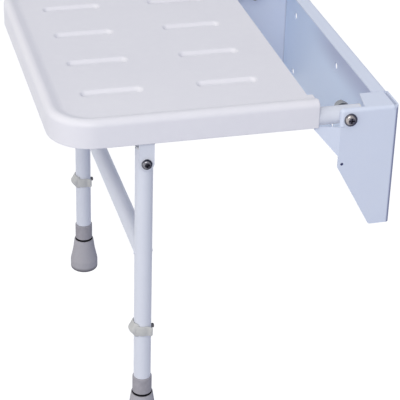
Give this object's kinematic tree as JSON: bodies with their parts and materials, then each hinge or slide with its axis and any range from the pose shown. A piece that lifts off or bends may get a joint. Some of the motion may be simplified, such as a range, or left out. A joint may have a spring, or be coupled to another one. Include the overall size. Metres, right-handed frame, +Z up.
{
  "type": "shower seat",
  "caption": "Wall-mounted shower seat that folds up on a bracket, with a moulded grooved seat and drop-down legs that adjust in height on pinned inner tubes with rubber feet.",
  "frame": {"origin": "centre of the six wall holes, in the plane of the wall", "axes": "+Y into the wall, so the seat reaches out along -Y; +X is the right-hand side of somebody sitting on the seat; +Z up"},
  "size_m": [0.463, 0.428, 0.4597],
  "materials": {
    "white_moulding": "fine satin gloss",
    "white_steel": "powder coat, semi-gloss",
    "clip_plastic": "satin",
    "foot_rubber": "matt",
    "bright_bolt": "bright plated",
    "zinc_steel": "zinc plated",
    "bare_tube": "satin anodised",
    "nylon": "natural",
    "bush_steel": "turned"
  },
  "bodies": {
    "wall_mount": {"wall_bracket": "white_steel", "hinge_bolt_right": "bright_bolt", "hinge_bolt_left": "bright_bolt", "hinge_spacer_right": "nylon", "hinge_spacer_left": "nylon", "hinge_washer_right": "zinc_steel", "hinge_washer_left": "zinc_steel", "hinge_nut_right": "zinc_steel", "hinge_nut_left": "zinc_steel"},
    "seat": {"seat_shell": "white_moulding", "seat_frame": "white_steel", "rear_cross_tube": "white_steel", "leg_tab_right": "white_steel", "leg_tab_left": "white_steel", "hinge_bush_right": "bush_steel", "hinge_bush_left": "bush_steel", "frame_plug_right": "nylon", "frame_plug_left": "nylon", "seat_screws": "zinc_steel", "leg_bolt_right": "bright_bolt", "leg_bolt_left": "bright_bolt", "leg_nut_right": "zinc_steel", "leg_nut_left": "zinc_steel", "leg_washers": "zinc_steel"},
    "legs": {"leg_tube_right": "white_steel", "leg_tube_left": "white_steel", "leg_crossbar": "white_steel", "leg_bush_right": "bush_steel", "leg_bush_left": "bush_steel", "leg_plug_right": "nylon", "leg_plug_left": "nylon"},
    "inner_leg_right": {"inner_tube_right": "bare_tube", "ferrule_right": "foot_rubber", "ferrule_disc_right": "zinc_steel"},
    "clip_right": {"clip_right": "clip_plastic", "clip_pin_right": "zinc_steel"},
    "inner_leg_left": {"inner_tube_left": "bare_tube", "ferrule_left": "foot_rubber", "ferrule_disc_left": "zinc_steel"},
    "clip_left": {"clip_left": "clip_plastic", "clip_pin_left": "zinc_steel"}
  },
  "joints": [
    {"name": "seat_fold", "type": "hinge", "parent": "wall_mount", "child": "seat", "pos_m": [0, -0.0626, 0.0778], "axis": [-1, 0, 0], "range_deg": [0, 90]},
    {"name": "leg_fold", "type": "hinge", "parent": "seat", "child": "legs", "pos_m": [0, -0.3145, 0.0388], "axis": [-1, 0, 0], "range_deg": [-90, 0]},
    {"name": "leg_height_right", "type": "slide", "parent": "legs", "child": "inner_leg_right", "axis": [0, 0, -1], "range_m": [0, 0.15]},
    {"name": "clip_pull_right", "type": "slide", "parent": "legs", "child": "clip_right", "axis": [0, -1, 0], "range_m": [0, 0.028]},
    {"name": "leg_height_left", "type": "slide", "parent": "legs", "child": "inner_leg_left", "axis": [0, 0, -1], "range_m": [0, 0.15]},
    {"name": "clip_pull_left", "type": "slide", "parent": "legs", "child": "clip_left", "axis": [0, -1, 0], "range_m": [0, 0.028]}
  ],
  "couplings": [
    {"joint": "leg_fold", "follows": "seat_fold", "ratio": -1}
  ]
}
